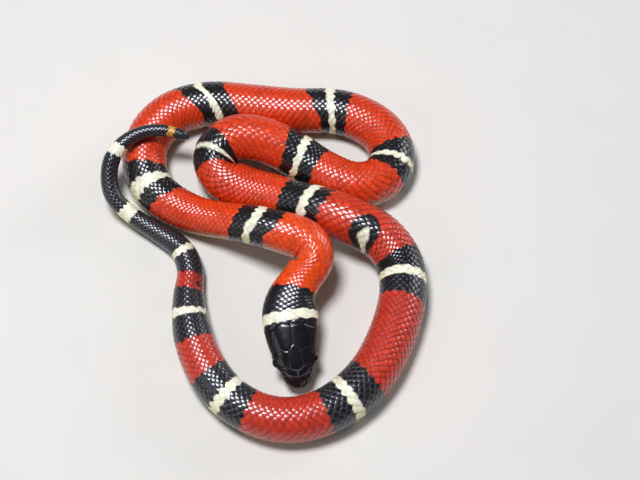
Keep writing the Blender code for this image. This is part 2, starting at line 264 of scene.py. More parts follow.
# The pale flecks on the right of the snout: distance, angle in degrees, and size.
SNOUT_FLECKS = (
    (1.85, 147, 0.3), (1.45, 124, 0.24), (2.55, 161, 0.36), (3.4, 168, 0.28), (1.3, 103, 0.18),
)
FLECK_NARROWING = 1.9
FLECK_STRENGTH = 0.6
FLECK_SHADE = 0.5
SNOUT_CAP_ROWS = 14
SNOUT_CAP_BULGE = 0.12
SNOUT_CAP_BACK = 0.1
SNOUT_GAP_HALF = 0.08
SNOUT_GAP_DEPTH = 0.14
SNOUT_GAP_DROP = 0.6
# How far back the plates reach: degrees from the top of the head, and distance from the snout.
PLATE_ENDS = (
    (0, 12.85), (8, 13.15), (19, 13.35), (28, 13), (36, 12.5), (50, 12.2), (70, 12.6),
    (85, 13.3), (95, 13.55), (180, 13.55),
)
PLATES_END = 13.55
CHIN_PLATES_END = 7.9
CHIN_FADE = (-0.72, -0.92)
PLATES_FADE = 0.45

# The skin round the eye: the rim of its socket, and the ridge and the fine line round that, each
# with its radius, its spread and its height.
SOCKET_RIM = 1.06
SOCKET_SNAP = 0.06
SOCKET_ROOM = 0.07
SOCKET_REACH = 2.8
SOCKET_REACH_ALONG = 3.0
SOCKET_REACH_IN = 1.5
EYE_FOLDS = ((1.2, 0.65, 0.34), (1.62, 0.07, -0.04))
NOSTRIL_DEPTH = 0.34
NOSTRIL_SPREAD = 0.21
NOSTRIL_REACH = 0.5
SNOUT_END = 3.0
# The eye: how far it turns to the front, its grid, and where its pupil and its iris end, in
# radians from its middle.
EYE_TURNED_AHEAD = 0.25
EYE_ROWS = 40
EYE_COLUMNS = 48
PUPIL_EDGE = (0.42, 0.48)
IRIS_EDGE = (0.95, 1.07)
PUPIL = np.array((0.002, 0.002, 0.002))
IRIS = np.array((0.014, 0.004, 0.003))
EYE_RIM = np.array((0.006, 0.004, 0.004))

# How fine the skin is: angles over and under the mouth, columns close beside it, and rows.
HEAD_OVER = 190
HEAD_UNDER = 96
MOUTH_COLUMNS = (0.0, 0.06, 0.12, 0.2)
SNOUT_ROWS_STEP = 0.06
HEAD_ROWS_STEP = 0.1
NECK_ROWS_STEP = 0.5
HEAD_SKIN_END = 21.0
BODY_SKIN_OVERLAP = 2.0
BODY_AROUND = 30
BODY_ROW_STEP = 0.9

# Each pale ring: its middle on the back, its width, the black in front of it and behind it, how
# far the front edge, the ring and the rear edge lean to the right side, how far the sides bow, and
# by what share the pale ring is wider on the left.
RINGS = (
    (15.3, 2.25, 30, 5.7, 0.5, 0.75, 1.6, 0, 0),
    (42.75, 1.7, 3.3, 3.4, -1.1, -0.6, -0.75, 1.1, 0),
    (73.15, 2.6, 3.95, 3.35, -2.2, -0.65, -1.6, -0.45, 0.35),
    (102.5, 1.75, 3.6, 4.3, 2.65, 2.9, 3, 0.8, 0),
    (130.8, 1.9, 3.4, 3.4, 2.1, 0.85, 0.35, 0.55, 0),
    (152.7, 1.4, 3, 2.3, 1, 0.3, 0.3, 0.3, 0),
    (178.85, 2, 4.5, 3.3, 0, 0.55, 0.7, -0.8, 0),
    (196.85, 0.9, 2.1, 1.9, 0.6, 0.75, 1, 0.35, 0),
    (226.55, 1.7, 5.1, 2.3, -0.3, -0.6, -0.6, 0.1, 0),
    (252.75, 2.3, 5.6, 4.3, -1.1, -0.7, -0.25, 0.4, 0),
    (284.2, 2.15, 5, 4.5, -0.8, -0.2, -0.1, -0.3, 0),
    (311.05, 2.2, 4.4, 5.2, 0.3, 0.2, 0.45, 0.4, 0),
    (331.95, 1.7, 5.7, 4.9, 0, -0.1, -0.5, 0.4, 0.3),
    (347.85, 1.8, 5.2, 13.5, -0.4, 0, 0, 0.2, 0),
    (364.3, 3.2, 14, 13.5, 0, 0, 0, 0, 0),
    (379.9, 2.3, 12, 11, 0.3, 0.3, 0.3, 0, 0),
    (392.45, 1.5, 11, 8, -0.2, -0.2, -0.2, 0, 0),
)
ORANGE_RING = 392.45
WIDER_BELOW = 0.2
EDGE_SOFTNESS = 0.16
# How far a scale keeps to the colour at its middle, for black edges and for pale ones, and where
# the markings run smoothly over the scales instead.
SCALE_HOLD = 0.55
PALE_HOLD = 0.45
SMOOTH_STRETCHES = ((188.5, 204.0), (233.3, 241.8))

# The black blotch that lies between two rings, and the pale streak in it. Arcs are in degrees
# round the body: where each starts and ends, and between which angles it slips back or narrows.
BLOTCH_MIDDLE = 237.4
BLOTCH_HALF = 2.4
BLOTCH_ARC = (77.0, 262.0)
BLOTCH_TIPS = (32.0, 20.0)
BLOTCH_SLIP = 1.2
BLOTCH_SLIP_ARC = (140.0, 185.0)
BLOTCH_NARROWING = 0.5
BLOTCH_NARROWING_ARC = (140.0, 180.0)
STREAK_MIDDLE = 237.5
STREAK_HALF = 0.5
STREAK_ARC = (110.0, 225.0)
STREAK_TIPS = (10.0, 17.1887)
STREAK_SLIP = 1.75
STREAK_SLIP_ARC = (135.0, 195.0)
STREAK_WIDEST = 138.0
STREAK_WIDE_OVER = 14.0

# The short red stretch before the tail, clouded with black, more so on its right side.
DUSKY_STRETCH = (337.8, 341.8)
DUSKY_SOFTNESS = 0.5
DUSKY_LEAST = 0.05
DUSKY_RISE = 0.85
DUSKY_SIDE = (math.radians(85), math.radians(115))
DUSKY_RANGE = (0.3, 1.0)

# Scales and belly plates darken towards their rims (the RIM colours and shares): partly their own darker
# edges, partly painted shade in the gaps between them.
RED = np.array((0.76, 0.048, 0.005))
RED_NECK = np.array((0.92, 0.075, 0.004))
# The red from the front loop on is darker: partly the animal's own tone, partly painted shade.
RED_REAR = np.array((0.60, 0.038, 0.016))
RED_RIM_SHARE = 0.55
TAN = np.array((0.55, 0.28, 0.15))
TAN_RIM_SPARED = 0.7
BLACK = np.array((0.006, 0.0055, 0.008))
BLACK_RIM = np.array((0.004, 0.0035, 0.004))
# A painted sheen: from the front loop to the tail, the rims of the black scales turn a lighter bluish grey,
# as where light catches them.
BLACK_RIM_PAINTED_SHEEN = np.array((0.06, 0.064, 0.08))
PALE = np.array((0.95, 0.94, 0.78))
PALE_FLANK = np.array((0.88, 0.80, 0.36))
PALE_RIM = np.array((0.78, 0.72, 0.42))
PALE_RIM_SHARE = 0.6
ORANGE = np.array((0.75, 0.34, 0.05))
ORANGE_RIM_SHARE = 0.5
# The head's seams are painted a faint grey, a painted sheen in the grooves.
SEAM_SHEEN_GREY = np.array((0.027, 0.024, 0.026))
# A painted highlight: the seams across the top of the snout are lighter, at a distance from the snout and
# over a reach, as where light catches their edges.
SEAM_PAINTED_GLINT = np.array((0.20, 0.19, 0.22))
SEAM_GLINT_PLACE = 3.3
SEAM_GLINT_REACH = 0.9
# Painted shade: the skin between the scales is darkened, as the gaps lie in shade.
SKIN_PAINTED_SHADE = 0.6
# Painted shade on the head's skin where it runs under the first scales.
HIDDEN_HEAD_PAINTED_SHADE = 0.5
# Where each colour takes over from the one before: between two distances from the snout, or
# between two heights on the round body, from 1 on the back to -1 under the belly.
NECK_RED_FADE = (62.0, 28.0)
REAR_RED_FADE = (215.0, 255.0)
LIT_RIM_FADE = (250.0, 262.0)
BELLY_TAN_FADE = (-0.12, -0.52)
PALE_FLANK_FADE = (0.75, -0.15)
MATTE_FLANK_FADE = (0.85, 0.25)
MATTE_SNOUT_FADE = (3.6, 2.0)
MATTE_ROUGHNESS = 0.35
COAT_ROUGHNESS = 0.13
SHEEN_TINT = (0.86, 0.91, 1.0, 1.0)
GRAIN_HEIGHT = 0.00004

LOOK_POINT = (12.5, 5.5, 0.0)
CAMERA_ELEVATION = math.radians(64)
CAMERA_DISTANCE = 330.0
CAMERA_LENS = 83.53
FLOOR_HALF = 1.2
FLOOR_GAP = 0.00002
FLOOR_COLORS = ((0.74, 0.725, 0.70, 1), (0.78, 0.765, 0.74, 1))
# Each light: its name, place, size, power and colour.
LIGHTS = (
    ("key", (-0.08, 0.03, 0.49), 0.15, 2.3, (0.98, 0.98, 1.0)),
    ("fill_left", (-0.55, -0.35, 0.45), 0.4, 0.6, (1.0, 0.97, 0.94)),
    ("fill_right", (0.56, 0.36, 0.26), 0.3, 1.2, (0.96, 0.97, 1.0)),
)


def relaxed(values, passes):
    """The values with each one moved towards its neighbours, and the ends kept."""
    values = values.copy()
    for _ in range(passes):
        values[1:-1] = values[1:-1] * 0.5 + (values[:-2] + values[2:]) * 0.25
    return values


def rounded(points):
    """A centripetal curve through the points, with a sample about every STEP."""
    points = np.array(points, float)
    points = np.vstack([2 * points[0] - points[1], points, 2 * points[-1] - points[-2]])
    knots = np.append(0, np.cumsum(np.linalg.norm(np.diff(points, axis=0), axis=1) ** 0.5))

    def blend(a, b, knot_a, knot_b, u):
        return (a * (knot_b - u) + b * (u - knot_a)) / (knot_b - knot_a)

    curve = []
    for i in range(1, len(points) - 2):
        k0, k1, k2, k3 = knots[i - 1 : i + 3]
        count = max(2, int(np.linalg.norm(points[i + 1] - points[i]) / STEP))
        for u in np.linspace(k1, k2, count, endpoint=False):
            first = blend(points[i - 1], points[i], k0, k1, u)
            second = blend(points[i], points[i + 1], k1, k2, u)
            third = blend(points[i + 1], points[i + 2], k2, k3, u)
            curve.append(blend(blend(first, second, k0, k2, u), blend(second, third, k1, k3, u), k1, k2, u))
    curve.append(points[-2])
    return np.array(curve)


def lengths_along(line):
    return np.append(0, np.cumsum(np.linalg.norm(np.diff(line, axis=0), axis=1)))


def evenly_spaced(line):
    along = lengths_along(line)
    places = np.linspace(0, along[-1], round(along[-1] / STEP) + 1)
    return columns_at(places, along, line)


def unit(vectors):
    return vectors / np.maximum(np.linalg.norm(vectors, axis=-1, keepdims=True), 1e-9)


def eased(value):
    """Nought below 0, one above 1, and a smooth rise between."""
    value = np.clip(value, 0, 1)
    return value * value * (3 - 2 * value)


def fade(value, start, end):
    """Nought before the start, one past the end and smooth between. The end may be the lower one."""
    return eased((value - start) / (end - start))


def between(place, start, end, softness=EDGE_SOFTNESS):
    """One between the start and the end, nought elsewhere, with soft edges."""
    return eased((place - start) / softness + 0.5) * eased((end - place) / softness + 0.5)


def mixed(first, second, share):
    return first * (1 - share) + second * share


def bell(value):
    """One at nought, falling off smoothly to both sides."""
    return np.exp(-(value**2))


def looked_up(table, value):
    """The second column of a table at a value of its first."""
    places, values = np.array(table).T
    return np.interp(value, places, values)


def columns_at(distance, places, table):
    """Every column of a table at a distance, side by side."""
    return np.stack([np.interp(distance, places, column) for column in table.T], -1)


class Snake:
    """The tube of the solids: any point of its surface, in the frame's own coordinates."""

    def __init__(self):
        line = relaxed(evenly_spaced(rounded(ROUTE)), SMOOTHING)
        line[:, 2] = relaxed(np.maximum(line[:, 2], 0), LIFT_SMOOTHING)
        line[line[:, 2] < LEAST_LIFT, 2] = 0
        self.line = evenly_spaced(line)
        self.along = SNOUT_TIP + lengths_along(self.line)
        self.forward = unit(np.gradient(self.line, self.along, axis=0))
        heading = np.unwrap(np.arctan2(self.forward[:, 1], self.forward[:, 0]))
        self.bend = relaxed(np.gradient(heading, self.along), SMOOTHING // 4)
        self.length = self.along[-1]
        shape = np.array(SHAPE)
        self.places = np.arange(SNOUT_TIP, shape[-1, 0] + STEP, STEP)
        self.sizes = relaxed(columns_at(self.places, shape[:, 0], shape[:, 1:]), SIZE_SMOOTHING)
        self.shift = np.zeros(3)
        # The solids were centred on the floor after they were made, and the eyes tell by how much.
        found = [(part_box(name)[0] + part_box(name)[1]) / 2 for name in ("eye_left", "eye_right")]
        made = [self.beside_axis(EYE_BACK, side * EYE_OUT, EYE_UP) for side in (-1, 1)]
        self.shift = (np.array(found) / MM - np.array(made)).mean(axis=0)

    def size(self, distance):
        """Half width, height above the axis and depth below it."""
        return [np.interp(distance, self.places, column) for column in self.sizes.T]

    def at(self, distance):
        """The belly line's point, the axes to the left and up, and the bend to the left."""
        point = columns_at(distance, self.along, self.line)
        forward = columns_at(distance, self.along, self.forward)
        left = unit(np.cross(np.array((0.0, 0.0, 1.0)), forward))
        up = unit(np.cross(forward, left))
        return point + self.shift, left, up, np.interp(distance, self.along, self.bend)

    def beside_axis(self, distance, out, up_from_axis):
        """A point given by its distance from the snout, to the left and above the axis."""
        point, left, up, _ = self.at(distance)
        return point + up * (self.size(distance)[2] + up_from_axis) + left * out

    def stretch(self, distance, angle):
        """How much longer the outer side of a bend is than the middle, which the inner side counts as."""
        half = self.size(distance)[0]
        bend = np.interp(distance, self.along, self.bend)
        return np.clip(1 - bend * half * np.cos(angle), 1.0, MOST_STRETCH)

    def surface(self, distance, angle):
        """Points of the surface of the solids."""
        half, above, below = self.size(distance)
        rounding = np.clip((distance - (self.length - TIP_LENGTH)) / TIP_LENGTH, 0, 1)
        tip = np.sqrt(np.maximum(1 - rounding**2, 0.0))
        point, left, up, bend = self.at(distance)
        head_like = (BODY_SECTION_WHOLE - distance) / (BODY_SECTION_WHOLE - BODY_SECTION_STARTS)
        head_like = np.clip(head_like, 0, 1)
        power = 2 + (HEAD_SQUARENESS - 2) * head_like
        cosine, sine = np.cos(angle), np.sin(angle)
        reach = (np.abs(cosine) ** power + np.abs(sine) ** power) ** (-1 / power)
        out, rise = cosine * reach, sine * reach
        inner_limit = np.where(bend * out > 0, INNER_SHARE / np.maximum(np.abs(bend), 1e-6), np.inf)
        sideways = np.minimum(half, inner_limit) * out
        flat = rise * half + below
        flat = np.maximum(flat, 0) + BELLY_ROUNDING * np.exp(-np.abs(flat) / BELLY_ROUNDING) * 0.5
        under = head_like * rise * below + (1 - head_like) * (flat - below)
        height = np.where(rise > 0, rise * above, np.minimum(under, 0.0))
        lips = np.clip((MOUTH_BACK + LIP_PAST_MOUTH - distance) / LIP_ENDS_OVER, 0, 1)
        lips = LIP_BULGE * lips * np.clip(distance / LIP_STARTS_OVER, 0, 1)
        brow = BROW_BULGE * bell((distance - EYE_BACK + BROW_AHEAD) / BROW_SPREAD)
        near_mouth = bell((height + mouth_drop(distance)) / LIP_SPREAD)
        near_brow = bell((height - above * BROW_SHARE) / BROW_THICKNESS)
        bulge = (lips * near_mouth + brow * near_brow) * np.minimum(1, np.abs(out) * 2)
        sideways = sideways + np.copysign(bulge, out)
        return point + up * (below + height * tip)[..., None] + left * (sideways * tip)[..., None]

    def lifted(self, distance, angle, lift):
        """Points at a height over the surface, or under it where the lift is negative."""
        before = self.surface(np.maximum(distance - NORMAL_REACH, SNOUT_TIP), angle)
        after = self.surface(np.minimum(distance + NORMAL_REACH, self.length), angle)
        across = self.surface(distance, angle + NORMAL_TURN) - self.surface(distance, angle - NORMAL_TURN)
        normal = unit(np.cross(across, after - before))
        centre, _, up, _ = self.at(distance)
        outward = self.surface(distance, angle) - centre - up * self.size(distance)[2][..., None]
        facing = np.sign(np.sum(normal * outward, axis=-1, keepdims=True))
        normal = normal * np.where(facing == 0, 1, facing)
        return self.surface(distance, angle) + normal * np.asarray(lift)[..., None]


def mouth_drop(distance):
    """How far below the axis the mouth closes."""
    share = np.sin(math.pi * np.clip(distance, 0, MOUTH_BACK) / MOUTH_BACK * MOUTH_CURVE)
    return MOUTH_DOWN_FRONT + (MOUTH_DOWN_LOWEST - MOUTH_DOWN_FRONT) * share


def outline(share):
    """The head's outline: how far out at a share of its height, or how high at a share of its width."""
    return (1 - share**HEAD_SQUARENESS) ** (1 / HEAD_SQUARENESS)


def angle_from_out(snake, distance, out):
    """The angle, over the axis, of a point of the head that far from the midline."""
    share = np.clip(np.abs(out) / snake.size(distance)[0], 0, SHARE_LIMIT)
    return np.arctan2(outline(share), share)


def angle_from_height(snake, distance, height):
    """The angle of a point of the head's left side at that height over the axis."""
    _, above, below = snake.size(distance)
    share = np.clip(np.abs(height) / np.where(np.asarray(height) > 0, above, below), 0, SHARE_LIMIT)
    return np.arctan2(np.copysign(share, height), outline(share))


def roll_at(distance):
    """How far the scales and belly plates are turned round the body, in radians."""
    return np.radians(looked_up(ROLLS, distance))


# Markings.


def blotch_weights(distance, pale_distance, turn):
    """How black the blotch makes a place and how pale its streak does, with the angle in degrees."""
    first, last = BLOTCH_ARC
    spread = np.sqrt(np.clip((turn - first) / BLOTCH_TIPS[0], 0, 1))
    spread = spread * np.sqrt(np.clip((last - turn) / BLOTCH_TIPS[1], 0, 1))
    middle = BLOTCH_MIDDLE + BLOTCH_SLIP * fade(turn, *BLOTCH_SLIP_ARC)
    half = (BLOTCH_HALF - BLOTCH_NARROWING * fade(turn, *BLOTCH_NARROWING_ARC)) * spread
    black = between(distance, middle - half, middle + half) * (spread > 0)
    first, last = STREAK_ARC
    middle = STREAK_MIDDLE + STREAK_SLIP * fade(turn, *STREAK_SLIP_ARC)
    half = STREAK_HALF * (1 + bell((turn - STREAK_WIDEST) / STREAK_WIDE_OVER))
    half = half * np.sqrt(np.clip((turn - first) / STREAK_TIPS[0], 0, 1))
    inside = (turn > first) * fade(turn, last, last - STREAK_TIPS[1])
    return black, between(pale_distance, middle - half, middle + half) * inside


def ring_weights(snake, distance, angle, pale_distance):
    """How black, pale and orange a place is, from 0 to 1. Pale rings go by a distance of their own."""
    lean = -np.cos(angle)
    bow = np.where(np.sin(angle) > 0, np.cos(angle) ** 2, 1.0)
    stretch = snake.stretch(distance, angle)
    low = np.clip(-np.sin(angle), 0, 1)
    black, pale, orange = (np.zeros_like(distance) for _ in range(3))
    for middle, width, front, behind, lean_front, lean_ring, lean_rear, sides, taper in RINGS:
        half = width / 2 * (1 + WIDER_BELOW * low - taper * lean) / stretch
        centre = middle + lean * lean_ring + bow * sides
        front_edge = middle - width / 2 - front + lean * lean_front + bow * sides
        rear_edge = middle + width / 2 + behind + lean * lean_rear + bow * sides
        black = np.maximum(black, between(distance, front_edge, rear_edge))
        ring = between(pale_distance, centre - half, centre + half)
        if middle == ORANGE_RING:
            orange = np.maximum(orange, ring)
        else:
            pale = np.maximum(pale, ring)
    turn = np.degrees(np.mod(angle, 2 * math.pi))
    blotch, streak = blotch_weights(distance, pale_distance, turn)
    return np.maximum(black, blotch), np.maximum(pale, streak), orange


def pigment(snake, distance, angle, rim, pale_distance=None):
    """The colour at a place, where rim tells how near the edge of its scale it is, from 0 to 1. The rims are
    darker, partly as the scales' own darker edges and partly as painted shade in the gaps between them.
    """
    if pale_distance is None:
        pale_distance = distance
    weights = ring_weights(snake, distance, angle, pale_distance)
    low = fade(np.sin(angle - roll_at(distance)), *BELLY_TAN_FADE)
    flank = fade(np.sin(angle), *PALE_FLANK_FADE)
    stages = [fade(distance, *ends) for ends in (NECK_RED_FADE, REAR_RED_FADE, LIT_RIM_FADE)]
    shares = (*weights, low, flank, *stages, rim)
    black, pale, orange, low, flank, neck, rear, lit, rim = (share[..., None] for share in shares)
    # The red grows darker towards the tail, partly its own tone and partly painted shade.
    red = RED * (1 - neck) * (1 - rear) + RED_NECK * neck + RED_REAR * rear
    # Red darkens towards each scale's rim: partly its own darker edge, partly painted shade in the gaps.
    red = mixed(red, TAN, low) * (1 - rim * (1 - RED_RIM_SHARE) * (1 - low * TAN_RIM_SPARED))
    # Black darkens towards the rim, but from LIT_RIM_FADE on its rims carry a lighter painted sheen.
    dark = mixed(BLACK, mixed(BLACK_RIM, BLACK_RIM_PAINTED_SHEEN, lit), rim)
    light = mixed(mixed(PALE, PALE_FLANK, flank), PALE_RIM, rim * PALE_RIM_SHARE)
    color = mixed(mixed(red, dark, black), light, pale)
    return mixed(color, ORANGE * (1 - rim * ORANGE_RIM_SHARE), orange)


def dusky(distance):
    """How much the short red stretch before the tail is clouded with black."""
    return between(distance, *DUSKY_STRETCH, DUSKY_SOFTNESS)


# Meshes.


def add_object(name, data):
    obj = bpy.data.objects.new(name, data)
    bpy.context.scene.collection.objects.link(obj)
    return obj


def make_piece(name, places, faces, colors, uv, material, matte=None):
    """An object from points in millimetres, faces as rows of corners, and a colour for each point."""
    places, colors, uv = places.reshape(-1, 3), colors.reshape(-1, 3), uv.reshape(-1, 2)
    mesh = bpy.data.meshes.new(name)
    corners = np.concatenate([np.asarray(f, np.int32).ravel() for f in faces])
    sizes = np.concatenate([np.full(len(f), f.shape[1], np.int32) for f in faces])
    starts = np.append(0, np.cumsum(sizes)[:-1]).astype(np.int32)
    mesh.vertices.add(len(places))
    mesh.vertices.foreach_set("co", (places * MM).astype(np.float32).ravel())
    mesh.loops.add(len(corners))
    mesh.loops.foreach_set("vertex_index", corners)
    mesh.polygons.add(len(sizes))
    mesh.polygons.foreach_set("loop_start", starts)
    mesh.update(calc_edges=True)
    mesh.validate()
    pigments = mesh.attributes.new("pigment", "FLOAT_COLOR", "POINT")
    rgba = np.column_stack([np.clip(colors, 0, 1), np.ones(len(colors))]).astype(np.float32)
    pigments.data.foreach_set("color", rgba.ravel())
    if matte is not None:
        mesh.attributes.new("matte", "FLOAT", "POINT").data.foreach_set("value", matte.astype(np.float32))
    layer = mesh.uv_layers.new(name="OFBake")
    loops = np.empty(len(mesh.loops), np.int32)
    mesh.loops.foreach_get("vertex_index", loops)
    layer.data.foreach_set("uv", uv.astype(np.float32)[loops].ravel())
    mesh.shade_smooth()
    mesh.materials.append(material)
    obj = add_object(name, mesh)
    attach(obj, "root")
    return obj


def grid_faces(rows, columns, closed):
    """Quads of a grid of points, row by row, that may close round its columns."""
    row = np.arange(rows - 1)[:, None] * columns
    count = columns if closed else columns - 1
    here = np.arange(count)[None, :]
    there = (here + 1) % columns
    quads = np.stack([row + here, row + there, row + columns + there, row + columns + here], -1)
    return quads.reshape(-1, 4)


def fan_faces(centre, first, count, flipped=False):
    """Triangles from one point to a closed ring of points, by number."""
    around = np.arange(count)
    here, there = first + around, first + (around + 1) % count
    if flipped:
        here, there = there, here
    return np.stack([np.full(count, centre), here, there], -1)


def inset(share, margin):
    """A share of a bake map, kept away from the ends by a margin."""
    return margin + share * (1 - 2 * margin)


def bake_patch(distance, row_share, x, y):
    """Each scale's own small patch, at its root's place on the skin's shape laid out in strips."""
    strip = np.floor(distance / BAKE_STRIP_LENGTH)
    u = inset(distance / BAKE_STRIP_LENGTH - strip, 0.02)
    v = (strip + inset(row_share, 0.06)) / BAKE_STRIPS
    return np.stack([u + x * BAKE_PATCH / 2, v + y * BAKE_PATCH / 2], -1)


# Scales.


class Lattice:
    """Where each scale sits: rows of scales, each half a scale behind the row beside it."""

    def __init__(self, snake):
        self.distances = np.arange(0, snake.length + STEP, STEP)
        self.pitch = looked_up(PITCHES, self.distances)
        self.count = np.append(0, np.cumsum(STEP / (self.pitch[:-1] + self.pitch[1:]) * 2))

    def distance_of(self, number):
        return np.interp(number, self.count, self.distances)

    def pitch_at(self, distance):
        return np.interp(distance, self.distances, self.pitch)

    def numbers(self, start, end, offset):
        """The scale numbers of one row between two distances."""
        first, last = np.interp((start, end), self.distances, self.count)
        return np.arange(math.ceil(first - offset), math.floor(last - offset) + 1) + offset


def row_angles(rows_each_side):
    """The angle of each row from one edge of the belly over the back to the other."""
    steps = np.arange(-rows_each_side, rows_each_side + 1)
    reach = np.abs(steps) + ROW_WIDENING * steps**2
    return QUARTER + np.sign(steps) * reach / reach[-1] * ROW_REACH


def plates_end(angle):
    """How far back the plates of the head reach, which is less under the chin."""
    under = fade(np.sin(angle), *CHIN_FADE)
    from_top = np.degrees(np.abs(np.arctan2(np.cos(angle), np.sin(angle))))
    return looked_up(PLATE_ENDS, from_top) - (PLATES_END - CHIN_PLATES_END) * under


def coat_share(pitch):
    """How thick the coat is for scales of that length, from 0 to 1."""
    return np.clip(pitch / FULL_COAT_PITCH, THINNEST_COAT, 1.0)


def scale_places(lattice):
    """The distance, the angle and the width of every scale."""
    rows = []
    for start, end, each_side in ROW_ZONES:
        angles = row_angles(each_side)
        for row, (angle, width) in enumerate(zip(angles, np.gradient(angles))):
            rows.append((start, end, angle, width, 0.5 * ((row + each_side) % 2)))
    width = (2 * math.pi - 2 * ROW_REACH) / (THROAT_ROWS + 1)
    for row in range(1, THROAT_ROWS + 1):
        angle = QUARTER + ROW_REACH + width * row
        rows.append((0.0, THROAT_ENDS, angle, width, 0.5 * ((row + 1) % 2)))
    found = []
    for start, end, angle, width, offset in rows:
        begin = max(start, float(plates_end(np.array(angle))) + PLATES_GAP)
        for number in lattice.numbers(begin, end, offset):
            found.append((float(lattice.distance_of(number)), angle, width))
    return np.array(found)


def scale_template():
    """One scale of unit size: offsets along and across, share of the way to the rim, and faces."""
    turns = np.arange(SCALE_AROUND) * 2 * math.pi / SCALE_AROUND
    reach = np.abs(np.cos(turns)) ** SCALE_POINTEDNESS + np.abs(np.sin(turns)) ** SCALE_POINTEDNESS
    reach = reach ** (-1 / SCALE_POINTEDNESS)
    shares = np.array(SCALE_RINGS + (1.0, 1.0))
    xs = np.append(0, np.outer(shares, np.cos(turns) * reach))
    ys = np.append(0, np.outer(shares, np.sin(turns) * reach))
    share = np.append(0, np.repeat(shares, SCALE_AROUND))
    skirt = np.zeros(len(xs))
    skirt[-SCALE_AROUND:] = 1
    fan = fan_faces(0, 1, SCALE_AROUND)
    quads = 1 + grid_faces(len(shares), SCALE_AROUND, True)[:, ::-1]
    return xs, ys, share, skirt, fan, quads


def make_scales(snake, lattice, material):
    """The scales in five pieces, each with its share of the rows."""
    scales = scale_places(lattice)
    xs, ys, share, skirt, fan, quads = scale_template()
    stretch = np.where(xs > 0, SCALE_REAR, SCALE_FRONT)
    for name, first, last in SCALE_BANDS:
        across = np.mod(scales[:, 1] - math.radians(first), 2 * math.pi) / math.radians(last - first)
        chosen = across < 1
        distance, angle, width = (scales[chosen, k][:, None] for k in range(3))
        pitch = lattice.pitch_at(distance)
        count = len(distance)
        growth = 1 + rng.uniform(-SIZE_JITTER, SIZE_JITTER, (count, 1))
        point_distance = distance + xs * stretch * pitch * growth
        point_distance = np.clip(point_distance, 0, snake.length - END_MARGIN)
        point_angle = angle + ys * width * SCALE_HALF_WIDTH * growth + roll_at(point_distance)
        climb = np.interp(distance, snake.along, snake.forward[:, 2])
        tilt = SCALE_TILT * np.clip(1 - climb / STEEP_CLIMB, *TILT_RANGE)
        lift = SCALE_BASE + tilt * xs + SCALE_DOME * (1 - share**2) - SCALE_SKIRT * skirt
        lift = lift * coat_share(pitch) + rng.uniform(-LIFT_JITTER, LIFT_JITTER, (count, 1))
        corners = snake.lifted(point_distance, point_angle, lift)
        whole = 1 - sum((distance > start) & (distance < end) for start, end in SMOOTH_STRETCHES)
        shift = rng.uniform(-EDGE_JITTER, EDGE_JITTER, (count, 1)) * pitch * whole
        inward = (distance - point_distance) * whole
        held, held_pale = (point_distance + inward * hold + shift for hold in (SCALE_HOLD, PALE_HOLD))
        held_angle = point_angle + (angle + roll_at(distance) - point_angle) * whole
        colors = pigment(snake, held, held_angle, fade(share, *SCALE_RIM_FADE), held_pale)
        colors = colors * (1 + rng.normal(0, SHADE_JITTER, (count, 1, 1)))
        cloud = dusky(distance) * (DUSKY_LEAST + DUSKY_RISE * fade(angle, *DUSKY_SIDE))
        cloud = cloud[:, :, None] * rng.uniform(*DUSKY_RANGE, (count, 1, 1))
        colors = mixed(colors, BLACK, cloud)
        patches = bake_patch(distance, across[chosen][:, None], xs, ys)
        offsets = np.arange(count)[:, None, None] * len(xs)
        faces = [(fan + offsets).reshape(-1, 3), (quads + offsets).reshape(-1, 4)]
        obj = make_piece(name, corners, faces, colors, patches, material)


# Belly plates.


def make_belly_plates(snake, lattice, material):
    """One wide plate for each scale's length under the body, and pairs of them under the tail."""
    plates = []
    for number in lattice.numbers(THROAT_ENDS, BODY_PLATES_END, 0.0):
        plates.append((number, -PLATE_REACH, PLATE_REACH))
    for number in lattice.numbers(TAIL_PLATES_START, snake.length - PLATES_SHORT_OF_TIP, 0.0):
        plates.append((number, -PLATE_REACH, PAIR_OVERLAP))
        plates.append((number + 0.5, -PAIR_OVERLAP, PLATE_REACH))
    shares = np.array(PLATE_ROWS)[:, None]
    rise = np.array(PLATE_RISE)[:, None]
    side = np.linspace(0, 1, PLATE_ACROSS)
    edge = fade(np.abs(side - 0.5) * 2, *PLATE_EDGE_FADE)
    rim = np.clip(fade(shares, *PLATE_REAR_FADE) * PLATE_REAR_RIM + edge * PLATE_EDGE_RIM, 0, 1)
    sunk = np.zeros(rim.shape)
    sunk[[0, -1]] = PLATE_SKIRT
    sunk[:, [0, -1]] = PLATE_SKIRT
    cell = grid_faces(*rim.shape, False)
    corners, colors, faces, patches = [], [], [], []
    for index, (number, left, right) in enumerate(plates):
        start = lattice.distance_of(number - PLATE_OVERLAP_AHEAD)
        end = lattice.distance_of(number + 1 + PLATE_OVERLAP_BEHIND)
        distance = start + (end - start) * shares + 0 * side
        angle = 3 * QUARTER + left + (right - left) * side + roll_at(distance)
        lift = (rise - PLATE_EDGE_DROP * edge) * coat_share(lattice.pitch_at(start)) - sunk
        distance = np.clip(distance, 0, snake.length - END_MARGIN)
        corners.append(snake.lifted(distance, angle, lift))
        held = mixed(distance, lattice.distance_of(number + 0.5), PLATE_HOLD)
        held = held + rng.uniform(-PLATE_EDGE_JITTER, PLATE_EDGE_JITTER)
        color = pigment(snake, held, angle, rim)
        colors.append(color * (1 + rng.normal(0, PLATE_SHADE_JITTER)))
        faces.append(cell + index * rim.size)
        middle = np.full(rim.shape, distance.mean())
        row_share = (left + right) / 2 / (4 * PLATE_REACH) + 0.5
        patches.append(bake_patch(middle, row_share, shares * 2 - 1, side * 2 - 1))
    faces = [np.vstack(faces)[:, ::-1]]
    corners, colors, patches = map(np.array, (corners, colors, patches))
    obj = make_piece("belly_plates", corners, faces, colors, patches, material)


# Skin.


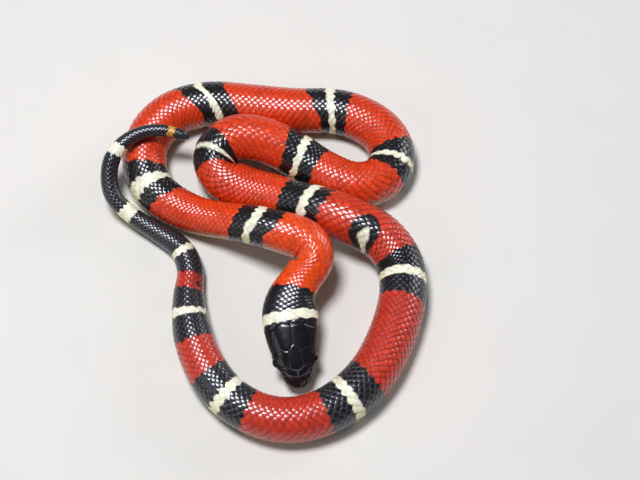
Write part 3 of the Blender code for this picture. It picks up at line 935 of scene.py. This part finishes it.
def seam_tree(snake):
    """Every seam between the plates of the head, as points close together in space."""
    lines = [[(s, angle_from_out(snake, s, out)) for s, out in seam] for seam in TOP_SEAMS]
    lines += [[(s, angle_from_height(snake, s, height)) for s, height in seam] for seam in SIDE_SEAMS]
    lines += [[(s, -angle_from_out(snake, s, out)) for s, out in seam] for seam in BOTTOM_SEAMS]
    steps = np.linspace(0, 1, SEAM_STEPS)[:, None]
    samples = []
    for line in map(np.array, lines):
        samples += [mixed(first, second, steps) for first, second in zip(line, line[1:])]
    distance, angle = np.vstack(samples).T
    points = snake.surface(np.tile(distance, 2), np.append(angle, math.pi - angle))
    tree = KDTree(len(points))
    for index, point in enumerate(points):
        tree.insert(Vector(point), index)
    tree.balance()
    return tree


def head_angles(snake, distance):
    """The angles round the head at one distance, with close columns along the mouth."""
    place = max(distance, SNOUT_TIP + 0.3)
    near = np.array(MOUTH_COLUMNS) / float(snake.size(place)[0])
    place = min(place, MOUTH_BACK)
    mouth = float(angle_from_height(snake, place, -float(mouth_drop(place))))
    right, again = math.pi - mouth, 2 * math.pi + mouth
    over = np.linspace(mouth + near[-1], right - near[-1], HEAD_OVER)
    under = np.linspace(right + near[-1], again - near[-1], HEAD_UNDER)
    angles = [mouth + near[:-1], over, right - near[-2::-1], right + near[1:-1], under, again - near[-2:0:-1]]
    return np.concatenate(angles), mouth


def head_lift(snake, lattice, tree, distance, angle, mouth, points):
    """How far the skin of the head lies over or under the solid, and how near each seam is."""
    seam = np.array([tree.find(Vector(p))[2] for p in points])
    groove = bell(seam / SEAM_WIDTH)
    pillow = 1 - np.exp(-seam / PLATE_PILLOW_SPREAD)
    lift = HEAD_SKIN_LIFT - SEAM_DEPTH * groove + PLATE_PILLOW * pillow
    corners = np.stack([mouth, math.pi - mouth, 2 * math.pi + mouth])
    from_mouth = np.abs(angle - corners).min(axis=0) * snake.size(distance)[0]
    closing = fade(distance, MOUTH_BACK, MOUTH_BACK - MOUTH_GAP_FADE)
    mouth_line = bell(from_mouth / MOUTH_GAP_HALF) * closing
    lift = lift - MOUTH_GAP_DEPTH * mouth_line
    ends = eased((distance - plates_end(angle)) / PLATES_FADE)
    lift = mixed(lift, -SKIN_DEPTH * coat_share(lattice.pitch_at(distance)), ends)
    return lift, groove * (1 - ends), mouth_line, ends


def carve_face(snake, places, distance):
    """Sinks the sockets of the eyes and the nostrils into the skin."""
    _, left, up, _ = snake.at(EYE_BACK)
    forward = np.cross(left, up)
    for side in (-1, 1):
        outward = left * side
        offset = places - snake.beside_axis(EYE_BACK, side * EYE_OUT, EYE_UP)
        x, y, depth = offset @ forward, offset @ up, offset @ outward
        near = (np.abs(distance - EYE_BACK) < SOCKET_REACH_ALONG) & (depth > -SOCKET_REACH_IN)
        radius = np.hypot(x, y)
        snap = near & (np.abs(radius - SOCKET_RIM) < SOCKET_SNAP)
        further = (SOCKET_RIM / radius[snap] - 1)[:, None]
        places[snap] += further * (x[snap, None] * forward + y[snap, None] * up)
        radius = np.where(snap, SOCKET_RIM, radius)
        inside = near & (radius < SOCKET_RIM - 0.01)
        cup = -np.sqrt(np.maximum((EYE_RADIUS + SOCKET_ROOM) ** 2 - radius**2, 0))
        places[inside] += outward * (cup - depth)[inside, None]
        folded = near & ~inside & (radius < SOCKET_REACH)
        for middle, spread, height in EYE_FOLDS:
            rise = height * bell((radius - middle) / spread)
            places[folded] += outward * rise[folded, None]
        nostril = snake.beside_axis(NOSTRIL_BACK, side * float(snake.size(NOSTRIL_BACK)[0]), NOSTRIL_UP)
        gone = np.linalg.norm(places - nostril, axis=1)
        pit = (gone < NOSTRIL_REACH) & (distance < SNOUT_END)
        places[pit] -= outward * (NOSTRIL_DEPTH * bell(gone[pit] / NOSTRIL_SPREAD))[:, None]
    return places


def head_colors(snake, distance, angle, groove, mouth_line, ends):
    """Black plates with faint grey seams painted as a sheen, a painted highlight on the seams across the top
    of the snout, painted shade in the mouth's groove and on the skin under the first scales, and a few pale
    flecks on the right of the snout.
    """
    color = pigment(snake, distance, angle, np.zeros(len(distance)))
    # Painted shade: the skin that runs under the first scales is darker.
    color = mixed(color, color * HIDDEN_HEAD_PAINTED_SHADE, ends[:, None])
    # A painted highlight on the seams across the top of the snout.
    light = bell((distance - SEAM_GLINT_PLACE) / SEAM_GLINT_REACH)
    light = (light * np.clip(np.sin(angle) * 2 - 0.6, 0, 1))[:, None]
    color = mixed(color, mixed(SEAM_SHEEN_GREY, SEAM_PAINTED_GLINT, light), (groove * SEAM_SHOWS)[:, None])
    for back, turn, size in SNOUT_FLECKS:
        away = np.hypot(distance - back, (angle - math.radians(turn)) * FLECK_NARROWING)
        fleck = (np.exp(-((away / size) ** 4)) * FLECK_STRENGTH)[:, None]
        color = mixed(color, PALE_FLANK * FLECK_SHADE, fleck)
    # Painted shade in the mouth's groove.
    return color * (1 - MOUTH_GAP_PAINTED_SHADE * mouth_line[:, None])


def capped(places, colors, uv, ends, ends_uv, columns):
    """A closed grid with a point at each end: its points, colours, places on the map and faces."""
    count = len(places)
    quads = grid_faces(count // columns, columns, True)
    fans = [fan_faces(count, 0, columns, True), fan_faces(count + 1, count - columns, columns)]
    colors = np.vstack([colors, np.tile(BLACK, (2, 1))])
    return np.vstack([places, ends]), colors, np.vstack([uv, ends_uv]), quads, np.vstack(fans)


def head_skin(snake, lattice):
    """The fine skin of the head as a capped grid, and how matte each point of the grid is."""
    tree = seam_tree(snake)
    nose = SNOUT_CAP_ROWS
    first = SNOUT_TIP + SNOUT_CAP_BACK
    rows = np.concatenate([
        np.full(nose, first),
        np.arange(first, first + 1.0, SNOUT_ROWS_STEP),
        np.arange(first + 1.0, PLATES_END + 0.9, HEAD_ROWS_STEP),
        np.arange(PLATES_END + 1.0, HEAD_SKIN_END, NECK_ROWS_STEP),
    ])
    shrink = np.sin(np.linspace(0.05, 1.0, nose + 1)[:-1] * QUARTER)
    table = [head_angles(snake, s) for s in rows]
    angle = np.array([angles for angles, _ in table])
    shape = angle.shape
    mouth = np.repeat([mouth for _, mouth in table], shape[1])
    distance = np.repeat(rows, shape[1])
    angle = angle.ravel()
    points = snake.surface(distance, angle)
    lift, groove, mouth_line, ends = head_lift(snake, lattice, tree, distance, angle, mouth, points)
    places = snake.lifted(distance, angle, lift).reshape(*shape, 3)
    mouth_line = mouth_line.reshape(shape)
    axis = snake.beside_axis(first, 0.0, 0.0)
    _, left, up, _ = snake.at(first)
    nose_way = -np.cross(left, up)
    for k in range(nose):
        bulge = nose_way * SNOUT_CAP_BULGE * math.sqrt(1 - shrink[k] ** 2)
        places[k] = axis + (places[k] - axis) * shrink[k] + bulge
        height = (places[k] - axis) @ up + mouth_drop(first + 0.2) * SNOUT_GAP_DROP
        mouth_line[k] = bell(height / SNOUT_GAP_HALF)
        places[k] -= nose_way * SNOUT_GAP_DEPTH * mouth_line[k][:, None]
    places = carve_face(snake, places.reshape(-1, 3), distance)
    colors = head_colors(snake, distance, angle, groove, mouth_line.ravel(), ends)
    matte = np.maximum(fade(np.sin(angle), *MATTE_FLANK_FADE), fade(distance, *MATTE_SNOUT_FADE))
    turn = inset((angle - angle.min()) / (2 * math.pi + 0.9), 0.01)
    uv = np.stack([turn, distance / HEAD_SKIN_END * 0.6 + 0.38], -1)
    caps = [axis + nose_way * SNOUT_CAP_BULGE, snake.beside_axis(HEAD_SKIN_END, 0.0, 0.0)]
    return capped(places, colors, uv, caps, ((0.5, 0.37), (0.5, 0.99)), shape[1]), matte


def body_skin(snake, lattice):
    """The plain skin under the scales, as a capped grid."""
    length = snake.length
    tip_rows = length - TIP_LENGTH * (1 - np.sin(np.linspace(0, 0.97, 9) * QUARTER))
    start = HEAD_SKIN_END - BODY_SKIN_OVERLAP
    rows = np.concatenate([np.arange(start, length - TIP_LENGTH, BODY_ROW_STEP), tip_rows])
    bare = fade(rows, length - BARE_TIP, length - BARE_TIP + 0.6)
    depth = SKIN_DEPTH * coat_share(lattice.pitch_at(rows)) + 0.01
    lift = np.repeat(-mixed(depth, 0.01, bare), BODY_AROUND)
    distance = np.repeat(rows, BODY_AROUND)
    angle = np.tile(np.linspace(0, 2 * math.pi, BODY_AROUND, endpoint=False), len(rows))
    places = snake.lifted(distance, angle, lift)
    # The skin shows only in the gaps between scales, so it takes the rim colour darkened by painted shade.
    colors = pigment(snake, distance, angle, np.ones(len(places))) * SKIN_PAINTED_SHADE
    strip = np.floor(distance / 100)
    v = (strip + inset(angle / (2 * math.pi), 0.05)) / 4 * 0.34
    uv = np.stack([inset(distance / 100 - strip, 0.02), v], -1)
    caps = [snake.beside_axis(start, 0.0, 0.0), snake.beside_axis(length, 0.0, 0.0)]
    return capped(places, colors, uv, caps, ((0.01, 0.01), (0.99, 0.33)), BODY_AROUND)


def make_skin(snake, lattice, material):
    """One skin for the whole animal, fine on the head and plain under the scales."""
    head, matte = head_skin(snake, lattice)
    body = body_skin(snake, lattice)
    places, colors, uv = (np.vstack(pair) for pair in zip(head[:3], body[:3]))
    base = len(head[0])
    faces = [np.vstack([first, second + base])[:, ::-1] for first, second in zip(head[3:], body[3:])]
    matte = np.append(matte, np.zeros(len(places) - len(matte)))
    obj = make_piece("skin", places, faces, colors, uv, material, matte)
    flesh = [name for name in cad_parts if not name.startswith("eye")]
    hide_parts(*flesh)


# Materials.


def new_material(name):
    """A new material, its node tree, its shader and the place on the object."""
    material = bpy.data.materials.new(name)
    material.use_nodes = True
    tree = material.node_tree
    place = tree.nodes.new("ShaderNodeTexCoord").outputs["Object"]
    return material, tree, tree.nodes["Principled BSDF"], place


def wire(tree, node, inputs):
    """Sets each input of a node to a value, or joins it to another node's output."""
    for key, value in inputs.items():
        if isinstance(value, bpy.types.NodeSocket):
            tree.links.new(value, node.inputs[key])
        else:
            node.inputs[key].default_value = value


def noise(tree, place, scale, detail):
    node = tree.nodes.new("ShaderNodeTexNoise")
    wire(tree, node, {"Vector": place, "Scale": scale, "Detail": detail})
    return node.outputs["Fac"]


def spread_out(tree, value, low, high):
    """A noise's middle range spread between two values."""
    node = tree.nodes.new("ShaderNodeMapRange")
    wire(tree, node, {"Value": value, "From Min": 0.3, "From Max": 0.7, "To Min": low, "To Max": high})
    return node.outputs["Result"]


def attribute(tree, name, output):
    node = tree.nodes.new("ShaderNodeAttribute")
    node.attribute_name = name
    return node.outputs[output]


def shaded_pigment(tree, shade):
    """The mesh's own colour, made lighter or darker."""
    node = tree.nodes.new("ShaderNodeVectorMath")
    node.operation = "SCALE"
    wire(tree, node, {0: attribute(tree, "pigment", "Color"), "Scale": shade})
    return node.outputs["Vector"]


def pigmented(name, roughness, spread, coat, specular, bump_scale, bump_strength, mottle_scale, mottle):
    """A glossy skin that takes its colour from the mesh and adds fine mottling and grain."""
    material, tree, shader, place = new_material(name)
    mottling = noise(tree, place, mottle_scale, 4.0)
    gloss = spread_out(tree, mottling, roughness - spread, roughness + spread)
    matte = attribute(tree, "matte", "Fac")
    dulled = tree.nodes.new("ShaderNodeMath")
    dulled.operation = "MULTIPLY_ADD"
    wire(tree, dulled, {0: matte, 1: MATTE_ROUGHNESS, 2: gloss})
    lacquer = tree.nodes.new("ShaderNodeMapRange")
    wire(tree, lacquer, {"Value": matte, "To Min": coat, "To Max": 0.0})
    bump = tree.nodes.new("ShaderNodeBump")
    grain = noise(tree, place, bump_scale, 3.0)
    wire(tree, bump, {"Strength": bump_strength, "Distance": GRAIN_HEIGHT, "Height": grain})
    wire(tree, shader, {
        "Base Color": shaded_pigment(tree, spread_out(tree, mottling, 1 - mottle, 1 + mottle)),
        "Roughness": dulled.outputs["Value"],
        "Coat Weight": lacquer.outputs["Result"],
        "Coat Roughness": COAT_ROUGHNESS,
        "Specular IOR Level": specular,
        "Specular Tint": SHEEN_TINT,
        "Normal": bump.outputs["Normal"],
    })
    return material


def eye_material():
    """A black pupil in a dark reddish brown iris, under a wet clear scale."""
    material, tree, shader, place = new_material("eye_finish")
    wire(tree, shader, {
        "Base Color": shaded_pigment(tree, spread_out(tree, noise(tree, place, 5200.0, 3.0), 0.6, 1.4)),
        "Roughness": 0.12,
        "IOR": 1.34,
        "Coat Weight": 0.4,
        "Coat Roughness": 0.02,
        "Coat IOR": 1.34,
    })
    return material


def make_eyes(snake, material):
    """A fine eyeball in place of each of the solids' coarse ones, with an iris and a round pupil."""
    _, left, up, _ = snake.at(EYE_BACK)
    for name, side in (("eye_left", -1), ("eye_right", 1)):
        centre = snake.beside_axis(EYE_BACK, side * EYE_OUT, EYE_UP)
        outward = unit(left * side - np.cross(left, up) * EYE_TURNED_AHEAD)
        first = unit(np.cross(outward, up))
        second = np.cross(outward, first)
        polar = np.linspace(0, math.pi, EYE_ROWS + 2)[1:-1, None, None]
        turn = np.arange(EYE_COLUMNS) * 2 * math.pi / EYE_COLUMNS
        ring = np.cos(turn)[:, None] * first + np.sin(turn)[:, None] * second
        ways = (np.cos(polar) * outward + np.sin(polar) * ring).reshape(-1, 3)
        ways = np.vstack([ways, outward, -outward])
        from_axis = np.arccos(np.clip(ways @ outward, -1, 1))
        iris, outer = (fade(from_axis, *ends)[:, None] for ends in (PUPIL_EDGE, IRIS_EDGE))
        color = mixed(mixed(PUPIL, IRIS, iris), EYE_RIM, outer)
        count = EYE_ROWS * EYE_COLUMNS
        fans = np.vstack([
            fan_faces(count, 0, EYE_COLUMNS),
            fan_faces(count + 1, count - EYE_COLUMNS, EYE_COLUMNS, True),
        ])
        around = np.append(np.tile(turn / (2 * math.pi), EYE_ROWS), (0.5, 0.5))
        uv = inset(np.stack([around, from_axis / math.pi], -1), 0.02)
        faces = [grid_faces(EYE_ROWS, EYE_COLUMNS, True), fans]
        obj = make_piece(name + "_ball", centre + ways * EYE_RADIUS, faces, color, uv, material)
        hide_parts(name)


# Floor, light and camera.


def make_floor():
    material, tree, shader, place = new_material("floor_finish")
    tone = tree.nodes.new("ShaderNodeValToRGB")
    for element, color in zip(tone.color_ramp.elements, FLOOR_COLORS):
        element.color = color
    wire(tree, tone, {"Fac": noise(tree, place, 60.0, 2.0)})
    wire(tree, shader, {"Base Color": tone.outputs["Color"], "Roughness": 0.75})
    mesh = bpy.data.meshes.new("floor")
    corners = [(x * FLOOR_HALF, y * FLOOR_HALF, 0) for x, y in ((-1, -1), (1, -1), (1, 1), (-1, 1))]
    mesh.from_pydata(corners, [], [(0, 1, 2, 3)])
    mesh.materials.append(material)
    floor = add_object("floor", mesh)
    floor.location.z = -FLOOR_GAP


def make_light(name, place, size, power, color):
    """A round light that points at the middle of the floor."""
    data = bpy.data.lights.new(name, "AREA")
    data.shape = "DISK"
    data.size = size
    data.energy = power
    data.color = color
    light = add_object(name, data)
    light.location = place
    light.rotation_euler = (-Vector(place)).to_track_quat("-Z", "Y").to_euler()


def make_stage(snake):
    make_floor()
    look = (np.array(LOOK_POINT) + snake.shift) * MM
    back = np.array((0, -math.cos(CAMERA_ELEVATION), math.sin(CAMERA_ELEVATION)))
    camera_data = bpy.data.cameras.new("camera")
    camera_data.lens = CAMERA_LENS
    camera_data.sensor_width = 36.0
    camera_data.clip_start = 0.01
    camera = add_object("camera", camera_data)
    camera.location = look + back * CAMERA_DISTANCE * MM
    camera.rotation_mode = "QUATERNION"
    camera.rotation_quaternion = Vector(-back).to_track_quat("-Z", "Y")
    bpy.context.scene.camera = camera
    for light in LIGHTS:
        make_light(*light)
    world = bpy.data.worlds.new("studio")
    world.use_nodes = True
    background = world.node_tree.nodes["Background"]
    background.inputs["Color"].default_value = (1.0, 0.99, 0.98, 1)
    background.inputs["Strength"].default_value = 0.1
    bpy.context.scene.world = world
    bpy.context.scene.view_settings.view_transform = "Standard"


snake = Snake()
lattice = Lattice(snake)
skin_finish = pigmented("skin_finish", 0.2, 0.04, 0.4, 0.35, 9000.0, 0.2, 900.0, 0.10)
scale_finish = pigmented("scale_finish", 0.30, 0.05, 0.5, 0.65, 12000.0, 0.25, 700.0, 0.10)
plate_finish = pigmented("plate_finish", 0.34, 0.06, 0.25, 0.5, 9000.0, 0.3, 600.0, 0.08)
make_skin(snake, lattice, skin_finish)
make_scales(snake, lattice, scale_finish)
make_belly_plates(snake, lattice, plate_finish)
make_eyes(snake, eye_material())
make_stage(snake)
